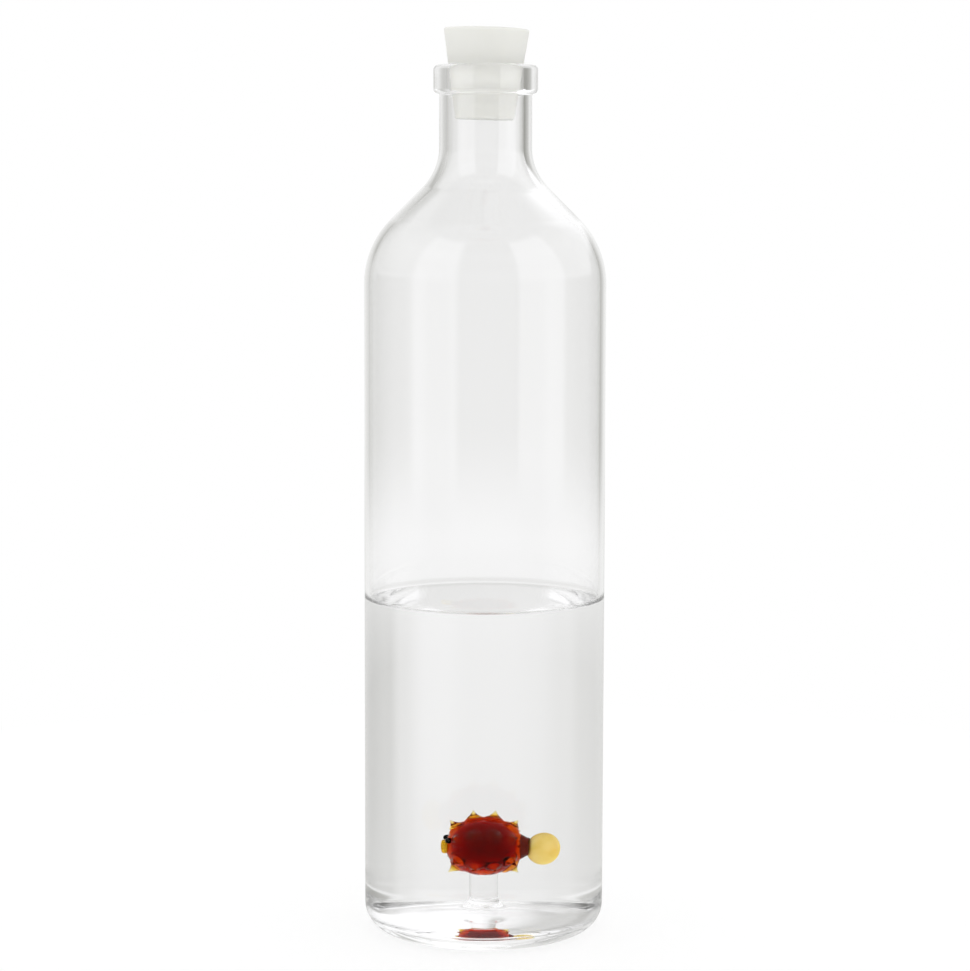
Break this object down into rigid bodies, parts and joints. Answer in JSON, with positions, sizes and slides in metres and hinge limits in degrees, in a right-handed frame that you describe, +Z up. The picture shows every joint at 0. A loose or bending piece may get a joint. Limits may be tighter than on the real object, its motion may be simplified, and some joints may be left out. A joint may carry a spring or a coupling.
{
  "type": "stoppered water bottle",
  "caption": "Tall clear glass water bottle with a tapered lift-out stopper, part filled, with a glass fish figure on a post inside.",
  "frame": {"origin": "middle of the base, on the surface that the bottle stands on", "axes": "+Z up the bottle's axis; the fish's head points along -X, its tail fin along +X, and -Y faces the picture's camera"},
  "size_m": [0.08, 0.08, 0.3007],
  "materials": {
    "clear_glass": "gloss",
    "red_glass": "gloss",
    "amber_glass": "gloss",
    "ivory_glass": "gloss",
    "black_glass": "gloss",
    "white_silicone": "matte",
    "water": "gloss"
  },
  "bodies": {
    "bottle": {"bottle_glass": "clear_glass", "figurine_stem": "clear_glass", "fish_body": "red_glass", "fish_tail_fin": "ivory_glass", "fish_mouth": "amber_glass", "fish_left_eye": "black_glass", "fish_right_eye": "black_glass", "spine_tail_1": "amber_glass", "spine_tail_2": "amber_glass", "spine_tail_3": "amber_glass", "spine_tail_4": "amber_glass", "spine_tail_5": "amber_glass", "spine_tail_6": "amber_glass", "spine_rear_1": "amber_glass", "spine_rear_2": "amber_glass", "spine_rear_3": "amber_glass", "spine_rear_5": "amber_glass", "spine_rear_6": "amber_glass", "spine_fore_1": "amber_glass", "spine_fore_2": "amber_glass", "spine_fore_3": "amber_glass", "spine_fore_5": "amber_glass", "spine_fore_6": "amber_glass", "spine_face_1": "amber_glass", "spine_face_2": "amber_glass", "spine_face_3": "amber_glass", "spine_face_4": "amber_glass", "spine_face_5": "amber_glass", "spine_face_6": "amber_glass", "water": "water"},
    "stopper": {"stopper": "white_silicone"}
  },
  "joints": [
    {"name": "stopper_lift", "type": "slide", "parent": "bottle", "child": "stopper", "axis": [0, 0, 1], "range_m": [0, 0.06]}
  ]
}
